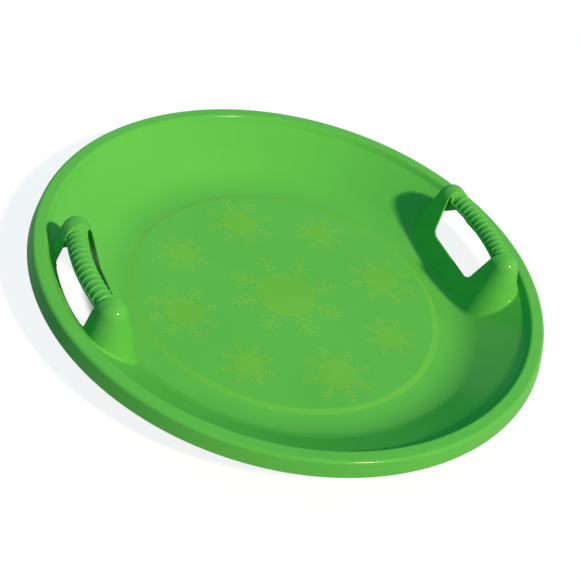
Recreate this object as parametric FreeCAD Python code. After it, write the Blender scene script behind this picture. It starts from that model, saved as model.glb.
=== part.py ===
import FreeCAD, Part
import math
import os

# Snow saucer with two moulded-in handles.
# Origin at the centre of the flat underside, +Z up, +X through the right handle.

# Dish, in millimetres
outer_diameter = 660.0
wall = 2.5
floor_border = 16.0
plateau_rise = 1.5
plateau_edge_run = 1.5
wall_run = 92.0
bend_radius = 70.0
wall_slope = 36.0

# Rim
rim_step = 8.2
rim_leg_angle = 60.0
rim_width = 21.0
skirt_flare = 5.0
skirt_height = 21.0
rim_inner_round = 4.5
rim_outer_round = 5.0

# Handle posts: the setback is from a lower corner of the finger opening to a post's axis,
# and the clearance is between a post and the upper edge of the wall
post_setback = 25.0
post_clearance = 2.2
post_lean = 15.8
dome_radius = 18.0
dome_rise = 36.5
lip_width = 7.0

# Finger opening in the inner face and hand gap towards the rim
sill_drop = 21.5
opening_sill_width = 94.0
opening_side_lean = 15.0
opening_corner = 9.0
hand_gap_setback = 15.0
hand_gap_corner = 12.0

# Grips
grip_width = 22.0
grip_drop = 4.1
grip_leg = 4.0
rail_ledge = 2.0
rib_pitch = 9.0
rib_width = 5.2
rib_height = 1.6
rib_end_gap = 4.0

# Fineness of round forms: bands of a rounding, facets of an arch or a hollow's end
bend_bands = 3
rim_inner_bands = 1
rim_outer_bands = 2
dome_bands = 3
opening_bands = 3
grip_facets = 6
bore_facets = 3
hollow_facets = 5

# Dish and rim, worked out from the outer edge inwards and from the floor upwards
up = FreeCAD.Vector(0, 0, 1)
centre = FreeCAD.Vector(0, 0, 0)
slope = math.radians(wall_slope)
outer_radius = outer_diameter / 2
rim_top_outer_radius = outer_radius - skirt_flare
wall_top_radius = rim_top_outer_radius - rim_width
lip_radius = wall_top_radius - lip_width
floor_radius = wall_top_radius - wall_run
plateau_radius = floor_radius - floor_border
bend_corner_radius = floor_radius + bend_radius * math.tan(slope / 2)
wall_top_height = wall + (wall_top_radius - bend_corner_radius) * math.tan(slope)
rim_height = wall_top_height + rim_step

# Handles, worked out from the rim and from the width of the finger opening
lean = math.radians(post_lean)
side_lean = math.radians(opening_side_lean)
dome_height = rim_height + dome_rise
dome_centre = dome_height - dome_radius
clear_height = 2 * dome_height
post_width_at_wall_top = dome_radius / math.cos(lean) + (dome_centre - wall_top_height) * math.tan(lean)
post_spacing = opening_sill_width + 2 * post_setback
post_radius = wall_top_radius - post_clearance - post_width_at_wall_top
post_centre_x = math.sqrt(post_radius ** 2 - (post_spacing / 2) ** 2)
hand_gap_width = post_spacing - 2 * hand_gap_setback
opening_sill = rim_height - sill_drop
grip_radius = post_radius
grip_top = dome_height - grip_drop
grip_bottom = grip_top - grip_width / 2 - grip_leg
grip_length = opening_sill_width + 2 * (grip_top - opening_sill) * math.tan(side_lean)
rib_count = 1 + int((grip_length - rib_width - 2 * rib_end_gap) / rib_pitch)


def point(radius, height):
    return FreeCAD.Vector(radius, 0, height)


def polygon_face(points):
    return Part.Face(Part.makePolygon(points + [points[0]]))


def revolved(face, angle=360.0, axis_point=centre):
    return face.revolve(axis_point, up, angle)


def rounding(before, corner, after, radius, bands):
    # Points along the arc that rounds a corner, from one line to the next
    back = (before - corner).normalize()
    ahead = (after - corner).normalize()
    half = back.getAngle(ahead) / 2
    middle = corner + (back + ahead).normalize() * (radius / math.sin(half))
    start = corner + back * (radius / math.tan(half)) - middle
    axis = back.cross(ahead)
    turn = -math.degrees(math.pi - 2 * half) / bands
    return [middle + FreeCAD.Rotation(axis, index * turn).multVec(start) for index in range(bands + 1)]


def faceted_solid(sections):
    # Closed solid with flat faces through matching sections, one after the other
    faces = [polygon_face(sections[0]), polygon_face(sections[-1])]
    for lower, upper in zip(sections, sections[1:]):
        for index, corner in enumerate(lower):
            faces.append(polygon_face([lower[index - 1], corner, upper[index], upper[index - 1]]))
    solid = Part.Solid(Part.Shell(faces))
    solid.fix(0.001, 0.001, 0.001)
    return solid


def offset_path(points, distance):
    # The same path moved sideways by a distance, to the right of its direction
    directions = [(b - a).normalize() for a, b in zip(points, points[1:])]
    normals = [FreeCAD.Vector(d.z, 0, -d.x) for d in directions]
    moved = [points[0] + normals[0] * distance]
    for index in range(1, len(points) - 1):
        bisector = (normals[index - 1] + normals[index]).normalize()
        stretch = distance / bisector.dot(normals[index])
        moved.append(points[index] + bisector * stretch)
    moved.append(points[-1] + normals[-1] * distance)
    return moved


def dish_block(depth, bottom):
    # Solid block that fills everything below the wall, at a depth under its upper face
    reach = outer_radius - bend_corner_radius
    radius = bend_radius + depth
    start = point(0, wall - depth)
    corner = point(floor_radius + radius * math.tan(slope / 2), start.z)
    far = corner + point(reach, reach * math.tan(slope))
    outline = [start] + rounding(start, corner, far, radius, bend_bands)
    outline += [far, point(far.x, bottom), point(0, bottom)]
    return revolved(polygon_face(outline))


def floor_pan():
    plateau_height = wall + plateau_rise
    return revolved(polygon_face([
        point(0, 0),
        point(floor_radius, 0),
        point(floor_radius, wall),
        point(plateau_radius + plateau_edge_run, wall),
        point(plateau_radius, plateau_height),
        point(0, plateau_height),
    ]))


def rim():
    # Inner step, flat top and flared skirt, as a bent strip of even thickness
    foot = point(wall_top_radius, wall_top_height)
    on_wall = foot - point(wall, wall * math.tan(slope))
    leg_run = (rim_height - foot.z) / math.tan(math.radians(rim_leg_angle))
    top_inner = point(foot.x + leg_run, rim_height)
    top_outer = point(rim_top_outer_radius, rim_height)
    skirt_end = point(outer_radius, rim_height - skirt_height)
    lower = offset_path([on_wall, foot, top_inner, top_outer, skirt_end], wall)
    lower[0] = foot - point(0, wall / math.cos(slope))
    outline = [foot]
    outline += rounding(foot, top_inner, top_outer, rim_inner_round, rim_inner_bands)
    outline += rounding(top_inner, top_outer, skirt_end, rim_outer_round, rim_outer_bands)
    outline.append(skirt_end)
    outline += reversed(lower)
    return revolved(polygon_face(outline))


def handle_profile(inset):
    # Half outline of a post, from its foot over its shoulder to the crown, moved inwards by an inset
    radius = dome_radius - inset
    foot_radius = radius / math.cos(lean) + dome_centre * math.tan(lean)
    outline = [point(0, 0), point(foot_radius, 0)]
    for index in range(dome_bands + 1):
        angle = lean + (math.pi / 2 - lean) * index / dome_bands
        outline.append(point(radius * math.cos(angle), dome_centre + radius * math.sin(angle)))
    return outline


def handle_mass():
    # Two domed cones joined by a flank that faces the dish and, beside the hand gap, by short outer flanks
    half_profile = polygon_face(handle_profile(0))
    flank = half_profile.extrude(FreeCAD.Vector(0, post_spacing, 0))
    inner_flank = flank.mirror(centre, FreeCAD.Vector(1, 0, 0))
    inner_flank.translate(FreeCAD.Vector(0, -post_spacing / 2, 0))
    rear_post = revolved(half_profile, 180.0)
    rear_post.translate(FreeCAD.Vector(0, post_spacing / 2, 0))
    rear_flank = half_profile.extrude(FreeCAD.Vector(0, hand_gap_setback, 0))
    rear_flank.translate(FreeCAD.Vector(0, hand_gap_width / 2, 0))
    rear = [rear_post, rear_flank]
    front = [shape.mirror(centre, FreeCAD.Vector(0, 1, 0)) for shape in rear]
    mass = inner_flank.fuse(rear + front).removeSplitter()
    mass.translate(FreeCAD.Vector(post_centre_x, 0, 0))
    return mass


def handle_hollow(inset):
    # Space inside a handle, with flat facets for the round ends and a flat roof below the crown
    sections = []
    foot, shoulder, roof = [handle_profile(inset)[index] for index in (1, 2, -2)]
    for level in (foot, shoulder, roof):
        corners = []
        for side in (1, -1):
            for index in range(hollow_facets + 1):
                angle = math.pi * index / hollow_facets
                x = post_centre_x + side * level.x * math.cos(angle)
                y = side * (post_spacing / 2 + level.x * math.sin(angle))
                corners.append(FreeCAD.Vector(x, y, level.z))
        sections.append(corners)
    return faceted_solid(sections)


def opening_prism(grow):
    # Finger opening seen from the middle of the dish, made larger all round by an amount
    sill = opening_sill - grow
    half_sill = opening_sill_width / 2 + grow * (1 - math.sin(side_lean)) / math.cos(side_lean)
    half_top = half_sill + (clear_height - sill) * math.tan(side_lean)
    top_front = FreeCAD.Vector(0, -half_top, clear_height)
    top_rear = FreeCAD.Vector(0, half_top, clear_height)
    sill_front = FreeCAD.Vector(0, -half_sill, sill)
    sill_rear = FreeCAD.Vector(0, half_sill, sill)
    corner = opening_corner + grow
    outline = [top_front]
    outline += rounding(top_front, sill_front, sill_rear, corner, opening_bands)
    outline += rounding(sill_front, sill_rear, top_rear, corner, opening_bands)
    outline.append(top_rear)
    prism = polygon_face(outline).extrude(FreeCAD.Vector(outer_radius - floor_radius, 0, 0))
    prism.translate(FreeCAD.Vector(floor_radius, 0, 0))
    return prism


def tall_cylinder(radius):
    return Part.makeCylinder(radius, 2 * clear_height, centre - up * clear_height)


def hand_gap():
    # Space for the hand between the grip and the rim, cut straight down
    corner = FreeCAD.Vector(post_centre_x, -hand_gap_width / 2, -clear_height)
    box = Part.makeBox(outer_radius - post_centre_x, hand_gap_width, 2 * clear_height, corner)
    gap = box.common(tall_cylinder(lip_radius))
    far_edges = []
    for edge in gap.Edges:
        upright = abs(edge.tangentAt(edge.FirstParameter).z) > 0.99
        if upright and edge.CenterOfMass.x > post_centre_x + wall:
            far_edges.append(edge)
    return gap.makeFillet(hand_gap_corner, far_edges)


def on_both_sides(shape):
    # The shape at the right handle and its copy, turned half round, at the left handle
    turned = shape.copy()
    turned.rotate(centre, up, 180)
    return [shape, turned]


def above(height):
    # Everything higher than a level
    corner = FreeCAD.Vector(-outer_radius, -outer_radius, height)
    return Part.makeBox(outer_diameter, outer_diameter, clear_height, corner)


def handle_shell():
    # Hollow handle, open below, with a web across each post where the grip comes out of it
    body = handle_mass()
    skin = body.cut(handle_hollow(wall))
    webs = body.common(opening_prism(wall)).common(above(grip_bottom))
    shell = skin.fuse(webs).cut(dish_block(wall, -outer_radius))
    shell = shell.common(tall_cylinder(wall_top_radius))
    opening = opening_prism(0).common(tall_cylinder(lip_radius))
    return shell.cut(opening).cut(hand_gap())


def side_wall():
    ring = dish_block(0, -outer_radius / 2).cut(dish_block(wall, -outer_radius))
    ring = ring.common(tall_cylinder(wall_top_radius)).cut(tall_cylinder(floor_radius))
    return ring.cut(on_both_sides(handle_mass()) + on_both_sides(hand_gap()))


def arch(radius, facets):
    # Points over a half circle, from the outer side to the inner side
    angles = [math.pi * index / facets for index in range(facets + 1)]
    return [point(radius * math.cos(angle), radius * math.sin(angle)) for angle in angles]


def grip_section(ridge, shift, turn):
    # Channel open below with a rail along each edge, shifted along its link and turned round the dish
    half = grip_width / 2
    bore = half - wall
    leg = point(0, -grip_leg)
    outer = arch(half + ridge, grip_facets)
    inner = arch(bore, bore_facets)[::-1]
    outer_rail = point(half + rail_ledge, 0)
    inner_rail = point(-half - rail_ledge, 0)
    corners = [outer_rail + leg, outer_rail] + outer + [inner_rail, inner_rail + leg]
    corners += [inner[0] + leg] + inner + [inner[-1] + leg]
    place = point(grip_radius, grip_top - half) + FreeCAD.Vector(0, shift, 0)
    spin = FreeCAD.Rotation(up, math.degrees(turn))
    return [spin.multVec(place + corner) for corner in corners]


def grip():
    # Ribbed channel bent round the dish from post to post, one straight link for each rib
    link_turn = rib_pitch / grip_radius
    sections = []
    for index in range(-1, rib_count + 1):
        turn = (index - (rib_count - 1) / 2) * link_turn
        sections.append(grip_section(0, -rib_width / 2, turn))
        if 0 <= index < rib_count:
            sections.append(grip_section(rib_height, 0, turn))
        sections.append(grip_section(0, rib_width / 2, turn))
    return faceted_solid(sections).common(opening_prism(0))


def slab(front, rear):
    # Everything between two values of Y, on the right-hand side
    corner = FreeCAD.Vector(0, front, -clear_height)
    return Part.makeBox(2 * outer_radius, rear - front, 2 * clear_height, corner)


os.makedirs("parts", exist_ok=True)
handle = handle_shell()
panel_half = opening_sill_width / 2 - opening_corner
nodes = {"floor_pan": floor_pan(), "side_wall": side_wall(), "rim": rim()}
handle_parts = {
    "panel": handle.common(slab(-panel_half, panel_half)),
    "posts": handle.cut(slab(-panel_half, panel_half)),
    "grip": grip(),
}
for name, shape in handle_parts.items():
    nodes["right_" + name], nodes["left_" + name] = on_both_sides(shape)

for name, shape in nodes.items():
    shape.exportStep("parts/" + name + ".step")
    print(name, shape.isValid(), [round(solid.Volume) for solid in shape.Solids])
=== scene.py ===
import math
import bmesh
import bpy
import numpy as np
from mathutils import Matrix, Vector


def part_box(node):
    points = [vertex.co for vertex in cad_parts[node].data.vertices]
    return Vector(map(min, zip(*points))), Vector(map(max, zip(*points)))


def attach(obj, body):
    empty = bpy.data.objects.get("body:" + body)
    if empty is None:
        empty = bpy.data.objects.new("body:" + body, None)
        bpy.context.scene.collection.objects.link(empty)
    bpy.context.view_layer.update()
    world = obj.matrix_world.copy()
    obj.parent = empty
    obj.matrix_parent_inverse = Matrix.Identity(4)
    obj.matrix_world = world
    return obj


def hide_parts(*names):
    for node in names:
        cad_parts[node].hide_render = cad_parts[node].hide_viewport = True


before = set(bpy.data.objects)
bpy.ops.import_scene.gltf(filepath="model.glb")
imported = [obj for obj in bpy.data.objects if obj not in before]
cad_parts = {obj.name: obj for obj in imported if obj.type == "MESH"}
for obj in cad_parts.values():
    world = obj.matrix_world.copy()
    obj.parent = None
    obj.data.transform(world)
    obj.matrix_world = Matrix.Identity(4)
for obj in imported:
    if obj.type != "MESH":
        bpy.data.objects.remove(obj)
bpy.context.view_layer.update()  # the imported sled, in metres, resting on z = 0
mm = 0.001
tiny = 1e-7  # lengths below this count as nothing
print("frame loaded:", len(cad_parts), "solids")


def reach(node):  # largest distance of a solid from the sled's axis
    return max(math.hypot(v.co.x, v.co.y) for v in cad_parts[node].data.vertices)


# places that the solids already fix
floorRadius = reach("floor_pan")
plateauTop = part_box("floor_pan")[1].z
wallTopRadius = reach("side_wall")
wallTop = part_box("side_wall")[1].z
outerRadius = reach("rim")
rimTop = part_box("rim")[1].z
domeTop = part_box("right_posts")[1].z
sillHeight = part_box("right_panel")[1].z
gripLow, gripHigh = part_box("right_grip")

dish = {
    "wall": 2.5 * mm,
    "bendRadius": 70 * mm,
    "slope": math.radians(36),
    "plateauRadius": 196 * mm,
    "plateauEdge": 8 * mm,  # level run of the soft step round the plateau
    "plateauRound": 22 * mm,
    "creaseHighlightFoot": 0.1 * mm,  # the step's painted highlight, a paler colour, starts this far up
    "windowHalf": math.radians(30),  # each handle takes this much of the wall to both sides
    "segments": 240,
    "arcStep": math.radians(3),  # longest piece of a rounding
    "arcLeast": 3,  # fewest pieces of a rounding
}


# profile strokes: points and outward normals in the (radius, height) half-plane, material on the right
def straight(start, end):
    points = np.array([start, end], float)
    along = (points[1] - points[0]) / np.linalg.norm(points[1] - points[0])
    normal = np.array([-along[1], along[0]])
    return points, np.array([normal, normal])


def roundedPath(corners):  # corners are (radius, height, rounding)
    spots = np.array([c[:2] for c in corners], float)
    strokes = []
    last = spots[0]
    for index in range(1, len(corners) - 1):
        back = spots[index - 1] - spots[index]
        ahead = spots[index + 1] - spots[index]
        back /= np.linalg.norm(back)
        ahead /= np.linalg.norm(ahead)
        rounding = corners[index][2]
        if rounding == 0:
            if np.linalg.norm(spots[index] - last) > tiny:
                strokes.append(straight(last, spots[index]))
            last = spots[index]
            continue
        half = math.acos(np.clip(back @ ahead, -1, 1)) / 2
        entry = spots[index] + back * rounding / math.tan(half)
        leave = spots[index] + ahead * rounding / math.tan(half)
        bisector = (back + ahead) / np.linalg.norm(back + ahead)
        middle = spots[index] + bisector * rounding / math.sin(half)
        turn = math.pi - 2 * half
        count = max(dish["arcLeast"], math.ceil(turn / dish["arcStep"]))
        first = math.atan2(*(entry - middle)[::-1])
        side = 1 if back[0] * ahead[1] - back[1] * ahead[0] < 0 else -1  # 1 turns left, a hollow corner
        angles = first + side * turn * np.linspace(0, 1, count + 1)
        ring = np.c_[np.cos(angles), np.sin(angles)]
        if np.linalg.norm(entry - last) > tiny:
            strokes.append(straight(last, entry))
        strokes.append((middle + rounding * ring, -side * ring))
        last = leave
    strokes.append(straight(last, spots[-1]))
    return strokes


def shadedMesh(name, points, faces, normals):  # mesh with its own corner normals
    mesh = bpy.data.meshes.new(name)
    mesh.from_pydata([tuple(p) for p in points], [], faces)
    mesh.polygons.foreach_set("use_smooth", [True] * len(mesh.polygons))
    mesh.normals_split_custom_set([tuple(n) for n in normals])
    mesh.update()
    piece = bpy.data.objects.new(name, mesh)
    bpy.context.scene.collection.objects.link(piece)
    return piece


def lathe(name, strokes, windows=()):  # solid turned from closed strokes, with whole sectors left out
    segments = dish["segments"]
    profile = [strokes[0][0][0]]
    edges = []
    for points, normals in strokes:
        for index in range(1, len(points)):
            profile.append(points[index])
            edges.append((len(profile) - 2, len(profile) - 1, normals[index - 1], normals[index]))
    if np.linalg.norm(profile[-1] - profile[0]) < tiny:
        profile.pop()
        edges[-1] = (edges[-1][0], 0, edges[-1][2], edges[-1][3])
    angles = 2 * math.pi * np.arange(segments) / segments
    spots, faces, normals, places = [], [], [], {}

    def corner(index, turn):
        radius, height = profile[index]
        key = (index, turn % segments if radius > tiny else 0)
        if key not in places:
            places[key] = len(spots)
            angle = angles[key[1]]
            spots.append((radius * math.cos(angle), radius * math.sin(angle), height))
        return places[key]

    def facing(normal, turn):
        angle = angles[turn % segments]
        return (normal[0] * math.cos(angle), normal[0] * math.sin(angle), normal[1])

    kept = [not any(low <= turn < high for low, high in windows) for turn in range(segments)]
    for turn in range(segments):
        if not kept[turn]:
            continue
        for start, end, startNormal, endNormal in edges:
            ring = [(start, turn, startNormal), (end, turn, endNormal)]
            ring += [(end, turn + 1, endNormal), (start, turn + 1, startNormal)]
            face, shade = [], []
            for index, step, normal in ring:
                spot = corner(index, step)
                if spot not in face:
                    face.append(spot)
                    shade.append(facing(normal, step))
            if len(face) > 2:
                faces.append(face)
                normals += shade
        if not kept[turn - 1]:  # flat end at the start of a kept run
            faces.append([corner(index, turn) for index in reversed(range(len(profile)))])
            normals += [(math.sin(angles[turn]), -math.cos(angles[turn]), 0)] * len(profile)
        if not kept[(turn + 1) % segments]:  # and at its end
            after = (turn + 1) % segments
            faces.append([corner(index, after) for index in range(len(profile))])
            normals += [(-math.sin(angles[after]), math.cos(angles[after]), 0)] * len(profile)
    return shadedMesh(name, spots, faces, normals)


# floor, wall and rim of the dish
def makeFloor():
    radius, run, rounding = dish["plateauRadius"], dish["plateauEdge"], dish["plateauRound"]
    return lathe("dishFloor", roundedPath([
        (0, plateauTop, 0),
        (radius, plateauTop, rounding),
        (radius + run, dish["wall"], rounding),
        (floorRadius, dish["wall"], 0),
        (floorRadius, 0, 0),
        (0, 0, 0),
    ]))


windowTurns = round(dish["segments"] * dish["windowHalf"] / (2 * math.pi))  # in whole segments
sectorHalf = 2 * math.pi * windowTurns / dish["segments"]


def makeWall():
    slope, wall, bend = dish["slope"], dish["wall"], dish["bendRadius"]
    seam = wall / math.cos(slope)
    upper = floorRadius + bend * math.tan(slope / 2)
    lower = floorRadius + (bend + wall) * math.tan(slope / 2)
    strokes = roundedPath([
        (floorRadius, wall, 0),
        (upper, wall, bend),
        (wallTopRadius, wallTop, 0),
        (wallTopRadius, wallTop - seam, 0),
        (lower, 0, bend + wall),
        (floorRadius, 0, 0),
        (floorRadius, wall, 0),
    ])
    half = dish["segments"] // 2
    windows = [(0, windowTurns), (half - windowTurns, half + windowTurns)]
    windows.append((dish["segments"] - windowTurns, dish["segments"]))
    return lathe("dishWall", strokes, windows)


rimShape = {
    "legAngle": math.radians(60),
    "topOuter": 325 * mm,
    "skirt": 21 * mm,
    "footRun": 0.5,  # corner below the wall's edge: its run as a share of the seam
    "footRise": 0.5,  # and its rise as a share of the wall's slope
    "innerRound": 4.5 * mm,
    "outerRound": 5 * mm,
    "edgeRound": 1.1 * mm,
}


def makeRim():
    wall, slope = dish["wall"], dish["slope"]
    seam = wall / math.cos(slope)
    legRun = (rimTop - wallTop) / math.tan(rimShape["legAngle"])
    inner = wallTopRadius + legRun
    flare = math.atan2(outerRadius - rimShape["topOuter"], rimShape["skirt"])
    skirtEnd = rimTop - rimShape["skirt"]
    thick = wall / math.cos(flare)
    underTop = rimTop - wall
    underLeg = inner + wall * math.tan(rimShape["legAngle"] / 2)
    underOuter = rimShape["topOuter"] - wall * math.tan(math.pi / 4 - flare / 2)
    footRun = rimShape["footRun"] * seam
    footRise = rimShape["footRise"] * footRun * math.tan(slope)
    return lathe("rolledRim", roundedPath([
        (wallTopRadius, wallTop, 0),
        (inner, rimTop, rimShape["innerRound"]),
        (rimShape["topOuter"], rimTop, rimShape["outerRound"]),
        (outerRadius, skirtEnd, rimShape["edgeRound"]),
        (outerRadius - thick, skirtEnd, rimShape["edgeRound"]),
        (underOuter, underTop, rimShape["outerRound"] - wall),
        (underLeg, underTop, rimShape["innerRound"] + wall),
        (wallTopRadius + footRun, wallTop - seam + footRise, 0),
        (wallTopRadius, wallTop - seam, 0),
        (wallTopRadius, wallTop, 0),
    ]))


floorPiece = makeFloor()
wallPiece = makeWall()
rimPiece = makeRim()
print("dish turned:", [len(p.data.polygons) for p in (floorPiece, wallPiece, rimPiece)], "faces")


# handles: one moulded skin of even thickness, drawn as a distance field and then meshed
handle = {
    "postHalf": 72 * mm,
    "lean": math.radians(15.8),
    "domeRadius": 18 * mm,
    "lip": 7 * mm,
    "sillHalf": 47 * mm,
    "sideLean": math.radians(15),
    "openingCorner": 9 * mm,
    "gapHalf": 57 * mm,
    "gapCorner": 12 * mm,
    "footRound": 3.5 * mm,
    "edgeRound": 1.1 * mm,
    "endSetback": 9 * mm,  # plate that closes each post towards the opening, behind the panel's edge
    "endDrop": 15 * mm,  # how far it comes down below the grip
    "endRun": 38 * mm,  # curved corner that runs from it along the grip's underside
    "endLift": 1.4 * mm,  # the corner's tip ends this far up inside the channel
    "barTuck": 2 * mm,  # the grip runs this far past the opening's edge
    "tuck": 1.5 * mm,  # the skin runs this far into the rim
    "margin": 4 * mm,  # spare room round the sector, cut off at the end
}
grip = {
    "half": 10.3 * mm,
    "railHalf": 13 * mm,
    "railTop": 0.2 * mm,
    "railRound": 0.9 * mm,
    "leg": 4 * mm,
    "ribPitch": 9 * mm,
    "ribsEachSide": 6,
    "ribHalf": 1.3 * mm,
    "ribHeight": 1.6 * mm,
    "ribRound": 1.1 * mm,
    "ribFoot": 0.8 * mm,
    "boreRound": 0.6 * mm,
    "blend": 0.8 * mm,
    "dullEnd": 4 * mm,  # the grip's duller finish stops this far inside the hand gap
    "dullEdge": 1 * mm,  # and reaches this far past the rails
}
gripRadius = gripHigh.x - grip["railHalf"]
gripCentre = gripLow.z + grip["leg"]
postX = math.sqrt(gripRadius ** 2 - handle["postHalf"] ** 2)
domeCentre = domeTop - handle["domeRadius"]
lipRadius = wallTopRadius - handle["lip"]


def roundMax(a, b, radius):  # what lies in both, its outer edge rounded
    inside = np.minimum(np.maximum(a, b) + radius, 0)
    return inside + np.hypot(np.maximum(a + radius, 0), np.maximum(b + radius, 0)) - radius


def roundMin(a, b, radius):  # what lies in either, with a fillet where they meet
    return -roundMax(-a, -b, radius)


def aboveWall(r, z):  # height over the upper face of floor edge, bend and wall
    bend, slope, wall = dish["bendRadius"], dish["slope"], dish["wall"]
    across = r - floorRadius
    below = wall + bend - z
    angle = np.arctan2(across, below)
    incline = (z - wallTop) * math.cos(slope) - (r - wallTopRadius) * math.sin(slope)
    return np.where(angle < 0, z - wall, np.where(angle > slope, incline, bend - np.hypot(across, below)))


def postField(x, y, z):  # ridge with a domed cone at each end
    lean, radius = handle["lean"], handle["domeRadius"]
    out = np.hypot(x - postX, np.maximum(np.abs(y) - handle["postHalf"], 0))
    rise = z - domeCentre
    cone = out * math.cos(lean) + rise * math.sin(lean)
    onDome = out * math.sin(lean) < rise * math.cos(lean)
    return np.where(onDome, np.hypot(out, rise), cone) - radius


def gripField(r, theta, z):  # ribbed channel with a rail along each edge
    across = np.abs(r - gripRadius)
    along = theta * gripRadius
    rise = z - gripCentre
    arch = np.hypot(across, np.maximum(rise, 0))
    bottom = -grip["leg"] - rise
    body = np.maximum(arch - grip["half"], bottom)
    number = np.clip(np.round(along / grip["ribPitch"]), -grip["ribsEachSide"], grip["ribsEachSide"])
    offset = np.abs(along - number * grip["ribPitch"])
    rib = roundMax(arch - grip["half"] - grip["ribHeight"], offset - grip["ribHalf"], grip["ribRound"])
    body = roundMin(body, np.maximum(rib, -rise), grip["ribFoot"])
    rail = roundMax(across - grip["railHalf"], rise - grip["railTop"], grip["railRound"])
    body = np.minimum(body, roundMax(rail, bottom, grip["railRound"]))
    return roundMax(body, grip["half"] - dish["wall"] - arch, grip["boreRound"])


def endWall(r, z, edge):  # plate that closes a post, with a curved corner under the grip
    drop, run, wall = handle["endDrop"], handle["endRun"], dish["wall"]
    along = edge - handle["endSetback"]
    plate = np.abs(along - wall / 2) - wall / 2
    hollow = roundMax(along * drop / run, z - gripLow.z - handle["endLift"], drop)
    arch = np.hypot(r - gripRadius, np.maximum(z - gripCentre, 0))
    corner = np.maximum(-hollow, arch - grip["half"] + wall / 2)
    corner = np.maximum(corner, np.maximum(along - wall / 2, -along - run))
    return np.maximum(np.minimum(plate, corner), gripLow.z - drop - z)


def handleField(x, y, z):  # below zero inside the plastic
    wall, side = dish["wall"], np.abs(y)
    r, theta = np.hypot(x, y), np.arctan2(y, x)
    high = aboveWall(r, z)
    post = postField(x, y, z)
    beside = np.maximum(postX - x, side - handle["gapHalf"])
    outer = roundMin(high, np.maximum(post, -beside), handle["footRound"])
    inner = roundMin(high + wall, post + wall, handle["footRound"])
    skin = np.maximum(outer, -inner)
    lean = handle["sideLean"]
    edge = (side - handle["sillHalf"]) * math.cos(lean) - (z - sillHeight) * math.sin(lean)
    opening = roundMax(edge, sillHeight - z, handle["openingCorner"])
    web = np.maximum(np.maximum(post, opening - wall), gripLow.z - z)
    web = np.maximum(web, np.abs(r - gripRadius) - grip["railHalf"])
    gap = roundMax(side - handle["gapHalf"], r - lipRadius, handle["gapCorner"])
    cut = np.minimum(np.maximum(opening, r - lipRadius), np.maximum(gap, postX - x))
    skin = roundMax(np.minimum(skin, web), -cut, handle["edgeRound"])
    bar = np.maximum(gripField(r, theta, z), opening - handle["barTuck"])
    shape = roundMin(skin, bar, grip["blend"])
    shape = roundMin(shape, np.maximum(endWall(r, z, edge), post + wall / 2), grip["blend"])
    sector = (np.abs(theta) - sectorHalf) * floorRadius - handle["margin"] / 2
    rim = np.maximum(r - wallTopRadius - handle["tuck"], floorRadius - handle["margin"] / 2 - r)
    return np.maximum(shape, np.maximum(sector, rim))


# mesh of that field
net = {
    "grid": 1.0 * mm,
    "probe": 0.04 * mm,  # half the step over which the field's slope is taken
    "leastSteep": 0.2,
    "longestMove": 0.4 * mm,  # of a point in one round
    "draftRounds": 3,
    "lastRounds": 4,
    "keep": 0.3,  # share of the faces that is left after thinning
    "weld": 0.01 * mm,  # shorter edges are closed up
}


def netSurface(field, low, step):  # one point for each crossed cell, one quad for each crossed grid line
    inside = field < 0
    size = np.array(field.shape) - 1
    corners = np.array([(i, j, k) for i in (0, 1) for j in (0, 1) for k in (0, 1)])
    count = np.zeros(size, int)
    for i, j, k in corners:
        count += inside[i:i + size[0], j:j + size[1], k:k + size[2]]
    crossed = (count > 0) & (count < len(corners))
    cells = np.argwhere(crossed)
    number = np.full(size, -1)
    number[crossed] = np.arange(len(cells))
    total, hits = np.zeros((len(cells), 3)), np.zeros(len(cells))
    for axis in range(3):
        unit = np.eye(3, dtype=int)[axis]
        for corner in corners[corners[:, axis] == 0]:
            start = cells + corner
            a, b = field[tuple(start.T)], field[tuple((start + unit).T)]
            cut = (a < 0) != (b < 0)
            share = np.where(cut, a / np.where(cut, a - b, 1), 0)
            total[cut] += (start + share[:, None] * unit)[cut]
            hits[cut] += 1
    faces = []
    for axis in range(3):
        u, v = np.eye(3, dtype=int)[(axis + 1) % 3], np.eye(3, dtype=int)[(axis + 2) % 3]
        lower = [slice(None)] * 3
        upper = [slice(None)] * 3
        lower[axis], upper[axis] = slice(0, -1), slice(1, None)
        starts = np.argwhere(inside[tuple(lower)] != inside[tuple(upper)])
        free = np.all((starts - u - v >= 0) & (starts < size), axis=1)
        starts = starts[free]
        ring = [number[tuple((starts + d).T)] for d in (-u - v, -v, 0 * u, -u)]
        quads = np.stack(ring, axis=1)
        quads = quads[np.all(quads >= 0, axis=1)]
        outward = inside[tuple(starts.T)]
        faces.append(np.where(outward[:, None], quads, quads[:, ::-1]))
    return low + step * total / hits[:, None], np.concatenate(faces)


def fieldNormals(points):
    probe = net["probe"]
    slopes = []
    for axis in range(3):
        shift = np.zeros(3)
        shift[axis] = probe
        slopes.append(handleField(*(points + shift).T) - handleField(*(points - shift).T))
    return np.stack(slopes, axis=1) / (2 * probe)


def settle(points, rounds):  # moves mesh points onto the true surface
    for _ in range(rounds):
        slope = fieldNormals(points)
        steep = np.maximum((slope ** 2).sum(1), net["leastSteep"])
        move = -(handleField(*points.T) / steep)[:, None] * slope
        length = np.linalg.norm(move, axis=1, keepdims=True)
        points = points + move * np.minimum(1, net["longestMove"] / np.maximum(length, tiny))
    return points


def readMesh(mesh):
    points = np.zeros(len(mesh.vertices) * 3)
    mesh.vertices.foreach_get("co", points)
    return points.reshape(-1, 3)


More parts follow.
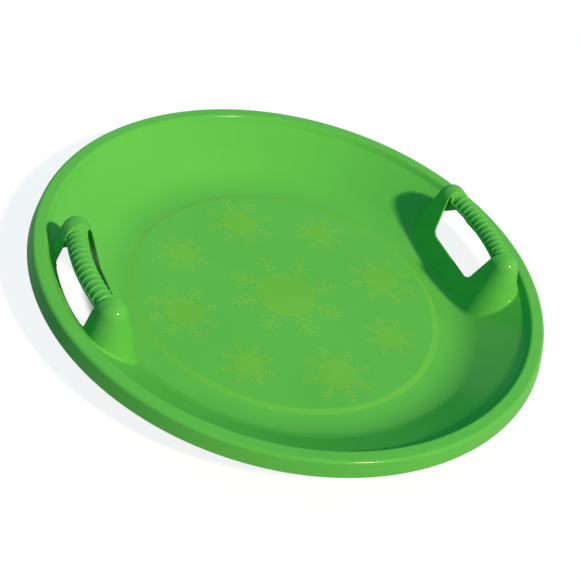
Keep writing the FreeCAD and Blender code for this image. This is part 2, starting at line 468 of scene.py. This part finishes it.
def thinned(points, faces):  # fewer faces where the surface is plain
    mesh = bpy.data.meshes.new("handleDraft")
    mesh.from_pydata(points.tolist(), [], faces.tolist())
    draft = bpy.data.objects.new("handleDraft", mesh)
    bpy.context.scene.collection.objects.link(draft)
    draft.modifiers.new("thin", "DECIMATE").ratio = net["keep"]
    result = bpy.data.meshes.new_from_object(draft.evaluated_get(bpy.context.evaluated_depsgraph_get()))
    bpy.data.objects.remove(draft)
    return result


def trimToSector(bm):  # cuts along the window's edges, with radius and angle as plain axes
    for v in bm.verts:
        v.co = (math.hypot(v.co.x, v.co.y), math.atan2(v.co.y, v.co.x) * floorRadius, v.co.z)
    arc = sectorHalf * floorRadius
    cap = bm.faces.layers.int.new("cap")
    cuts = (
        ((0, arc, 0), (0, 1, 0)),
        ((0, -arc, 0), (0, -1, 0)),
        ((floorRadius, 0, 0), (-1, 0, 0)),
    )
    for spot, normal in cuts:
        everything = bm.verts[:] + bm.edges[:] + bm.faces[:]
        done = bmesh.ops.bisect_plane(bm, geom=everything, plane_co=spot, plane_no=normal, clear_outer=True)
        cutEdges = [e for e in done["geom_cut"] if isinstance(e, bmesh.types.BMEdge)]
        filled = bmesh.ops.triangle_fill(bm, edges=cutEdges, use_beauty=True, normal=normal)
        for item in filled["geom"]:
            if isinstance(item, bmesh.types.BMFace):
                item[cap] = 1
                item.normal_update()
                if item.normal.dot(Vector(normal)) < 0:
                    item.normal_flip()
    for v in bm.verts:
        angle = v.co.y / floorRadius
        v.co = (v.co.x * math.cos(angle), v.co.x * math.sin(angle), v.co.z)


def makeHandle():
    step, margin = net["grid"], handle["margin"]
    half = sectorHalf + margin / floorRadius
    widest = (wallTopRadius + margin) * math.sin(half)
    nearest = (floorRadius - margin) * math.cos(half) - margin
    low = np.array([nearest, -widest, -margin])
    high = np.array([wallTopRadius + margin, widest, domeTop + margin])
    size = np.ceil((high - low) / step).astype(int) + 1
    xs, ys, zs = (low[axis] + step * np.arange(size[axis]) for axis in range(3))
    y, z = np.meshgrid(ys, zs, indexing="ij")
    field = np.stack([handleField(np.full_like(y, x), y, z) for x in xs])
    points, faces = netSurface(field, low, step)
    mesh = thinned(settle(points, net["draftRounds"]), faces)
    print("handle net:", len(faces), "quads, thinned to", len(mesh.polygons), "faces")
    moved = settle(readMesh(mesh), net["lastRounds"])
    mesh.vertices.foreach_set("co", moved.ravel())
    bm = bmesh.new()
    bm.from_mesh(mesh)
    trimToSector(bm)
    bmesh.ops.dissolve_degenerate(bm, edges=bm.edges[:], dist=net["weld"])
    bm.to_mesh(mesh)
    bm.free()
    return mesh


def dressHandle(name, mesh, turn):  # one handle, with normals from the field it was drawn from
    points = readMesh(mesh)
    slopes = fieldNormals(points)
    slopes /= np.maximum(np.linalg.norm(slopes, axis=1, keepdims=True), tiny)
    caps = [d.value for d in mesh.attributes["cap"].data]
    faces, normals = [], []
    for face, flat in zip(mesh.polygons, caps):
        faces.append(list(face.vertices))
        normals += [face.normal if flat else slopes[v] for v in face.vertices]
    spin = np.array(Matrix.Rotation(turn, 3, "Z"))
    return shadedMesh(name, points @ spin.T, faces, np.array(normals) @ spin.T)


handleMesh = makeHandle()
rightHandle = dressHandle("rightHandle", handleMesh, 0)
leftHandle = dressHandle("leftHandle", handleMesh, math.pi)
bpy.data.meshes.remove(handleMesh)
print("handles moulded:", len(rightHandle.data.polygons), "faces each")


# snowflakes: frosted patches that stand a hair proud of the plateau
flake = {
    "height": 0.15 * mm,
    "ringRadius": 144 * mm,
    "firstAngle": math.radians(93),
    "arms": 8,
    "centre": {"hub": 40 * mm, "arm": 38 * mm, "bar": 2.8 * mm},
    "large": {"hub": 25 * mm, "arm": 24 * mm, "bar": 2.0 * mm},
    "small": {"hub": 19 * mm, "arm": 18 * mm, "bar": 1.7 * mm},
    "branches": ((0.10, 0.50), (0.38, 0.46), (0.66, 0.34)),  # place and length, as shares of the arm
    "branchAngle": math.radians(48),
    "branchWidth": 0.8,  # as a share of the arm's bar
    "tip": 0.8,  # length of a bar's point, as a share of its width
    "root": 1 * mm,  # an arm starts this far inside its hub
    "bevel": 0.2 * mm,
    "hubPoints": 64,
    "ringCount": 8,
    "hubFinish": 0,  # place of each finish in the piece's list
    "armFinish": 1,
    "armDrop": 0.04 * mm,  # the tops lie at stepped levels, so that no two faces coincide
    "branchDrop": 0.08 * mm,
    "branchStep": 0.02 * mm,
}


def addSlab(bm, outline, top, finish):  # flat patch with sloping edges, sunk a little into the floor
    rim = [bm.verts.new((x, y, plateauTop - flake["height"])) for x, y in outline]
    middle = np.mean(outline, axis=0)
    face = []
    for x, y in outline:
        inward = middle - (x, y)
        inward *= flake["bevel"] / np.linalg.norm(inward)
        face.append(bm.verts.new((x + inward[0], y + inward[1], top)))
    sides = [bm.faces.new(face), bm.faces.new(rim[::-1])]
    for index in range(len(rim)):
        after = (index + 1) % len(rim)
        sides.append(bm.faces.new((rim[index], rim[after], face[after], face[index])))
    for side in sides:
        side.material_index = finish


def addBar(bm, start, end, width, top):  # bar with a pointed tip
    along = (end - start) / np.linalg.norm(end - start)
    side = np.array([-along[1], along[0]]) * width / 2
    neck = end - along * width * flake["tip"]
    addSlab(bm, [start - side, neck - side, end, neck + side, start + side], top, flake["armFinish"])


def addFlake(bm, middle, shape, turn):
    top = plateauTop + flake["height"]
    ring = 2 * math.pi * np.arange(flake["hubPoints"]) / flake["hubPoints"]
    addSlab(bm, middle + shape["hub"] * np.c_[np.cos(ring), np.sin(ring)], top, flake["hubFinish"])
    for arm in range(flake["arms"]):
        angle = turn + 2 * math.pi * arm / flake["arms"]
        out = np.array([math.cos(angle), math.sin(angle)])
        root = middle + out * (shape["hub"] - flake["root"])
        tip = middle + out * (shape["hub"] + shape["arm"])
        addBar(bm, root, tip, shape["bar"], top - flake["armDrop"])
        for number, (place, length) in enumerate(flake["branches"]):
            for side in (-1, 1):
                lean = angle + side * flake["branchAngle"]
                start = middle + out * (shape["hub"] + shape["arm"] * place)
                end = start + shape["arm"] * length * np.array([math.cos(lean), math.sin(lean)])
                level = top - flake["branchDrop"] - flake["branchStep"] * number
                addBar(bm, start, end, shape["bar"] * flake["branchWidth"], level)


def makeFlakes():
    bm = bmesh.new()
    addFlake(bm, np.zeros(2), flake["centre"], flake["firstAngle"])
    for number in range(flake["ringCount"]):
        angle = flake["firstAngle"] - 2 * math.pi * number / flake["ringCount"]
        middle = flake["ringRadius"] * np.array([math.cos(angle), math.sin(angle)])
        addFlake(bm, middle, flake["small" if number % 2 else "large"], flake["firstAngle"])
    mesh = bpy.data.meshes.new("snowflakes")
    bm.to_mesh(mesh)
    bm.free()
    piece = bpy.data.objects.new("snowflakes", mesh)
    bpy.context.scene.collection.objects.link(piece)
    return piece


flakePiece = makeFlakes()
print("snowflakes laid:", len(flakePiece.data.polygons), "faces")


# materials
plastics = {
    "greenPlastic": {
        "deep": (0.090, 0.442, 0.058, 1),
        "bright": (0.102, 0.467, 0.064, 1),
        "rough": (0.40, 0.52),
        "grainScale": 420,
        "grain": 0.12,
        "gloss": 0.20,  # polished skin
        "glossRough": 0.15,
    },
    "gripPlastic": {
        "deep": (0.084, 0.425, 0.064, 1),
        "bright": (0.096, 0.450, 0.070, 1),
        "rough": (0.44, 0.56),
        "grainScale": 900,
        "grain": 0.3,
        "gloss": 0.14,
        "glossRough": 0.24,
    },
    # painted highlight: paler colour for the soft step round the plateau
    "creaseHighlightPlastic": {
        "deep": (0.112, 0.456, 0.056, 1),
        "bright": (0.126, 0.481, 0.062, 1),
        "rough": (0.40, 0.52),
        "grainScale": 420,
        "grain": 0.12,
        "gloss": 0.20,
        "glossRough": 0.15,
    },
    "frostedPlastic": {
        "deep": (0.126, 0.465, 0.054, 1),
        "bright": (0.144, 0.490, 0.060, 1),
        "rough": (0.50, 0.62),
        "grainScale": 1500,
        "grain": 0.35,
        "gloss": 0.03,
        "glossRough": 0.5,
    },
    "rimePlastic": {
        "deep": (0.143, 0.488, 0.062, 1),
        "bright": (0.162, 0.513, 0.068, 1),
        "rough": (0.50, 0.62),
        "grainScale": 1500,
        "grain": 0.35,
        "gloss": 0.03,
        "glossRough": 0.5,
    },
}
mixture = {  # shared by all the plastics
    "flowScale": 7,
    "flowDetail": 4,
    "hazeScale": 55,
    "hazeDetail": 6,
    "grainDetail": 2,
    "grainDepth": 0.1 * mm,
    "span": (0.3, 0.7),  # part of a noise's range that is used
    "index": 1.5,
    "mirror": 0.0,  # the polished skin does all the mirroring
    "scatter": 0.12,  # light that goes some way into the plastic
    "scatterRadius": (0.3, 1.0, 0.2),
    "scatterDepth": 3 * mm,
}


def addNode(tree, kind, **values):
    node = tree.nodes.new(kind)
    for key, value in values.items():
        setattr(node, key, value)
    return node


def makePlastic(name):
    look = plastics[name]
    low, high = mixture["span"]
    material = bpy.data.materials.new(name)
    material.use_nodes = True
    tree = material.node_tree
    shader = tree.nodes["Principled BSDF"]
    place = addNode(tree, "ShaderNodeTexCoord")
    flow = addNode(tree, "ShaderNodeTexNoise")
    flow.inputs["Scale"].default_value = mixture["flowScale"]
    flow.inputs["Detail"].default_value = mixture["flowDetail"]
    tint = addNode(tree, "ShaderNodeValToRGB")
    tint.color_ramp.elements[0].position = low
    tint.color_ramp.elements[1].position = high
    tint.color_ramp.elements[0].color = look["deep"]
    tint.color_ramp.elements[1].color = look["bright"]
    haze = addNode(tree, "ShaderNodeTexNoise")
    haze.inputs["Scale"].default_value = mixture["hazeScale"]
    haze.inputs["Detail"].default_value = mixture["hazeDetail"]
    dull = addNode(tree, "ShaderNodeMapRange")
    dull.inputs["From Min"].default_value = low
    dull.inputs["From Max"].default_value = high
    dull.inputs["To Min"].default_value = look["rough"][0]
    dull.inputs["To Max"].default_value = look["rough"][1]
    grain = addNode(tree, "ShaderNodeTexNoise")
    grain.inputs["Scale"].default_value = look["grainScale"]
    grain.inputs["Detail"].default_value = mixture["grainDetail"]
    bump = addNode(tree, "ShaderNodeBump")
    bump.inputs["Strength"].default_value = look["grain"]
    bump.inputs["Distance"].default_value = mixture["grainDepth"]
    for texture in (flow, haze, grain):
        tree.links.new(place.outputs["Object"], texture.inputs["Vector"])
    tree.links.new(flow.outputs["Fac"], tint.inputs["Fac"])
    tree.links.new(tint.outputs["Color"], shader.inputs["Base Color"])
    tree.links.new(haze.outputs["Fac"], dull.inputs["Value"])
    tree.links.new(dull.outputs["Result"], shader.inputs["Roughness"])
    tree.links.new(grain.outputs["Fac"], bump.inputs["Height"])
    tree.links.new(bump.outputs["Normal"], shader.inputs["Normal"])
    shader.inputs["IOR"].default_value = mixture["index"]
    shader.inputs["Specular IOR Level"].default_value = mixture["mirror"]
    shader.inputs["Coat Weight"].default_value = look["gloss"]
    shader.inputs["Coat Roughness"].default_value = look["glossRough"]
    shader.inputs["Subsurface Weight"].default_value = mixture["scatter"]
    shader.inputs["Subsurface Radius"].default_value = mixture["scatterRadius"]
    shader.inputs["Subsurface Scale"].default_value = mixture["scatterDepth"]
    return material


greenPlastic = makePlastic("greenPlastic")
gripPlastic = makePlastic("gripPlastic")
creaseHighlightPlastic = makePlastic("creaseHighlightPlastic")
frostedPlastic = makePlastic("frostedPlastic")
rimePlastic = makePlastic("rimePlastic")
for piece in (floorPiece, wallPiece, rimPiece, rightHandle, leftHandle):
    piece.data.materials.append(greenPlastic)
for piece in (rightHandle, leftHandle):  # the ribbed bars are duller
    piece.data.materials.append(gripPlastic)
    for face in piece.data.polygons:
        across = math.hypot(face.center.x, face.center.y) - gripRadius
        between = abs(face.center.y) < handle["gapHalf"] - grip["dullEnd"]
        within = abs(across) < grip["railHalf"] + grip["dullEdge"]
        above = face.center.z > gripLow.z - grip["dullEdge"]
        face.material_index = 1 if between and within and above else 0
flakePiece.data.materials.append(frostedPlastic)
flakePiece.data.materials.append(rimePlastic)  # the arms are paler than the hubs
floorPiece.data.materials.append(creaseHighlightPlastic)  # painted highlight: a little paler round the plateau's step, brightening its lit side and evening out its shaded side
# painted highlight on the step's slope, not a real change of plastic
for face in floorPiece.data.polygons:
    out = math.hypot(face.center.x, face.center.y) - dish["plateauRadius"]
    onCreaseHighlight = 0 < out < dish["plateauEdge"] and face.center.z > dish["wall"] + dish["creaseHighlightFoot"]
    face.material_index = 1 if onCreaseHighlight else 0
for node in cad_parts.values():
    node.data.materials.clear()
    node.data.materials.append(greenPlastic)
print("plastics mixed")

# every piece rides on the sled's one body and stands for its solids
standsFor = (
    (floorPiece, ("floor_pan",)),
    (wallPiece, ("side_wall",)),
    (rimPiece, ("rim",)),
    (rightHandle, ("right_panel", "right_posts", "right_grip")),
    (leftHandle, ("left_panel", "left_posts", "left_grip")),
    (flakePiece, ()),
)
for piece, nodes in standsFor:
    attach(piece, "root")
    if nodes:
        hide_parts(*nodes)


# stage, lamps and camera
stageSet = {
    "halfSize": 6.0,
    "drop": 0.4 * mm,  # the floor lies a hair below the sled
    "floorColour": (0.16, 0.16, 0.16, 1),
    "glow": 0.87,
    "paintedShadeBelow": (0.246, 0.262),  # painted shade: the glow fades out between these distances from the axis, under the dish
    "skyColour": (0.060, 0.340, 0.500, 1),  # light from above the horizon
    "groundColour": (0.18, 0.18, 0.18, 1),  # and what the ground gives back
    "horizon": 0.1,  # the two blend this far above and below the horizon
    "backdrop": (1, 1, 1, 1),  # white wherever it is seen directly
    "keyAzimuth": math.radians(-68),
    "keyElevation": math.radians(43),
    "keyStrength": 4.4,
    "keyDistance": 2.0,
    "keyAngle": math.radians(5),
    "keyColour": (1.0, 0.70, 0.53),
}


def seenDirectly(tree):  # 1 for rays that show the background, 0 for rays that light the sled
    rays = addNode(tree, "ShaderNodeLightPath")
    seen = addNode(tree, "ShaderNodeMath", operation="MAXIMUM")
    mirrored = addNode(tree, "ShaderNodeMath", operation="MAXIMUM")
    tree.links.new(rays.outputs["Is Camera Ray"], seen.inputs[0])
    tree.links.new(rays.outputs["Is Glossy Ray"], mirrored.inputs[0])
    tree.links.new(rays.outputs["Is Transmission Ray"], mirrored.inputs[1])
    tree.links.new(mirrored.outputs[0], seen.inputs[1])
    return seen.outputs[0]


def makeFloorStage():
    half, level = stageSet["halfSize"], -stageSet["drop"]
    mesh = bpy.data.meshes.new("stageFloor")
    corners = [(x * half, y * half, level) for x, y in ((-1, -1), (1, -1), (1, 1), (-1, 1))]
    mesh.from_pydata(corners, [], [(0, 1, 2, 3)])
    stageFloor = bpy.data.objects.new("stageFloor", mesh)
    stageFloor.visible_diffuse = False  # its light comes back from the lower half of the sky instead
    bpy.context.scene.collection.objects.link(stageFloor)
    material = bpy.data.materials.new("paleFloor")
    material.use_nodes = True
    tree = material.node_tree
    tree.nodes.clear()
    lift = addNode(tree, "ShaderNodeMath", operation="MULTIPLY")
    lift.inputs[1].default_value = stageSet["glow"]
    matt = addNode(tree, "ShaderNodeBsdfDiffuse")
    matt.inputs["Color"].default_value = stageSet["floorColour"]
    glow = addNode(tree, "ShaderNodeEmission")
    both = addNode(tree, "ShaderNodeAddShader")
    surface = addNode(tree, "ShaderNodeNewGeometry")
    flat = addNode(tree, "ShaderNodeVectorMath", operation="LENGTH")
    # painted shade: the floor's glow is taken away under the dish by distance from the axis
    under = addNode(tree, "ShaderNodeMapRange")
    under.inputs["From Min"].default_value = stageSet["paintedShadeBelow"][0]
    under.inputs["From Max"].default_value = stageSet["paintedShadeBelow"][1]
    shaded = addNode(tree, "ShaderNodeMath", operation="MULTIPLY")
    clear = addNode(tree, "ShaderNodeBsdfTransparent")
    sided = addNode(tree, "ShaderNodeMixShader")
    output = addNode(tree, "ShaderNodeOutputMaterial")
    tree.links.new(seenDirectly(tree), lift.inputs[0])
    tree.links.new(surface.outputs["Position"], flat.inputs[0])
    tree.links.new(flat.outputs["Value"], under.inputs["Value"])
    tree.links.new(lift.outputs[0], shaded.inputs[0])
    tree.links.new(under.outputs["Result"], shaded.inputs[1])
    tree.links.new(shaded.outputs[0], glow.inputs["Strength"])
    tree.links.new(matt.outputs[0], both.inputs[0])
    tree.links.new(glow.outputs[0], both.inputs[1])
    # clear from below, so that the underside can be seen
    tree.links.new(surface.outputs["Backfacing"], sided.inputs[0])
    tree.links.new(both.outputs[0], sided.inputs[1])
    tree.links.new(clear.outputs[0], sided.inputs[2])
    tree.links.new(sided.outputs[0], output.inputs["Surface"])
    mesh.materials.append(material)


def makeSky():
    world = bpy.data.worlds.new("paleSky")
    bpy.context.scene.world = world
    world.use_nodes = True
    tree = world.node_tree
    fill = tree.nodes["Background"]
    place = addNode(tree, "ShaderNodeTexCoord")
    apart = addNode(tree, "ShaderNodeSeparateXYZ")
    height = addNode(tree, "ShaderNodeMapRange")
    height.inputs["From Min"].default_value = -stageSet["horizon"]
    height.inputs["From Max"].default_value = stageSet["horizon"]
    halves = addNode(tree, "ShaderNodeValToRGB")
    halves.color_ramp.elements[0].color = stageSet["groundColour"]
    halves.color_ramp.elements[1].color = stageSet["skyColour"]
    white = addNode(tree, "ShaderNodeBackground")
    white.inputs["Color"].default_value = stageSet["backdrop"]
    pick = addNode(tree, "ShaderNodeMixShader")
    tree.links.new(place.outputs["Generated"], apart.inputs[0])
    tree.links.new(apart.outputs["Z"], height.inputs["Value"])
    tree.links.new(height.outputs["Result"], halves.inputs["Fac"])
    tree.links.new(halves.outputs["Color"], fill.inputs["Color"])
    tree.links.new(seenDirectly(tree), pick.inputs[0])
    tree.links.new(fill.outputs[0], pick.inputs[1])
    tree.links.new(white.outputs[0], pick.inputs[2])
    tree.links.new(pick.outputs[0], tree.nodes["World Output"].inputs["Surface"])


def makeLamp():
    key = bpy.data.lights.new("keyLamp", "SUN")
    key.energy = stageSet["keyStrength"]
    key.angle = stageSet["keyAngle"]
    key.color = stageSet["keyColour"]
    lamp = bpy.data.objects.new("keyLamp", key)
    azimuth, elevation = stageSet["keyAzimuth"], stageSet["keyElevation"]
    level = math.cos(elevation)
    towards = Vector((math.cos(azimuth) * level, math.sin(azimuth) * level, math.sin(elevation)))
    lamp.rotation_euler = towards.to_track_quat("Z", "Y").to_euler()
    lamp.location = towards * stageSet["keyDistance"]
    bpy.context.scene.collection.objects.link(lamp)


# camera from a fit of the photograph: lens in pixels of its 580 pixel frame, angles and distance
photoView = {
    "framePixels": 580,
    "lensPixels": 1313.0,
    "azimuth": math.radians(-34.88),
    "elevation": math.radians(40.06),
    "roll": math.radians(17.34),
    "distance": 1678.6 * mm,
    "offset": (-5.5 * mm, 5.8 * mm),
    "sensor": 36,
}


def makeCamera():
    azimuth, elevation, roll = photoView["azimuth"], photoView["elevation"], photoView["roll"]
    level = math.cos(elevation)
    back = Vector((math.sin(azimuth) * level, -math.cos(azimuth) * level, math.sin(elevation)))
    right = Vector((math.cos(azimuth), math.sin(azimuth), 0))
    up = back.cross(right)
    x = right * math.cos(roll) + up * math.sin(roll)
    y = up * math.cos(roll) - right * math.sin(roll)
    shiftX, shiftY = photoView["offset"]
    spot = back * photoView["distance"] - x * shiftX + y * shiftY + Vector((0, 0, plateauTop))
    camera = bpy.data.cameras.new("photoCamera")
    camera.sensor_width = photoView["sensor"]
    camera.lens = photoView["lensPixels"] * photoView["sensor"] / photoView["framePixels"]
    holder = bpy.data.objects.new("photoCamera", camera)
    holder.matrix_world = Matrix.Translation(spot) @ Matrix((x, y, back)).transposed().to_4x4()
    bpy.context.scene.collection.objects.link(holder)
    bpy.context.scene.camera = holder


makeFloorStage()
makeSky()
makeLamp()
makeCamera()
bpy.context.scene.view_settings.view_transform = "Standard"
print("stage set")
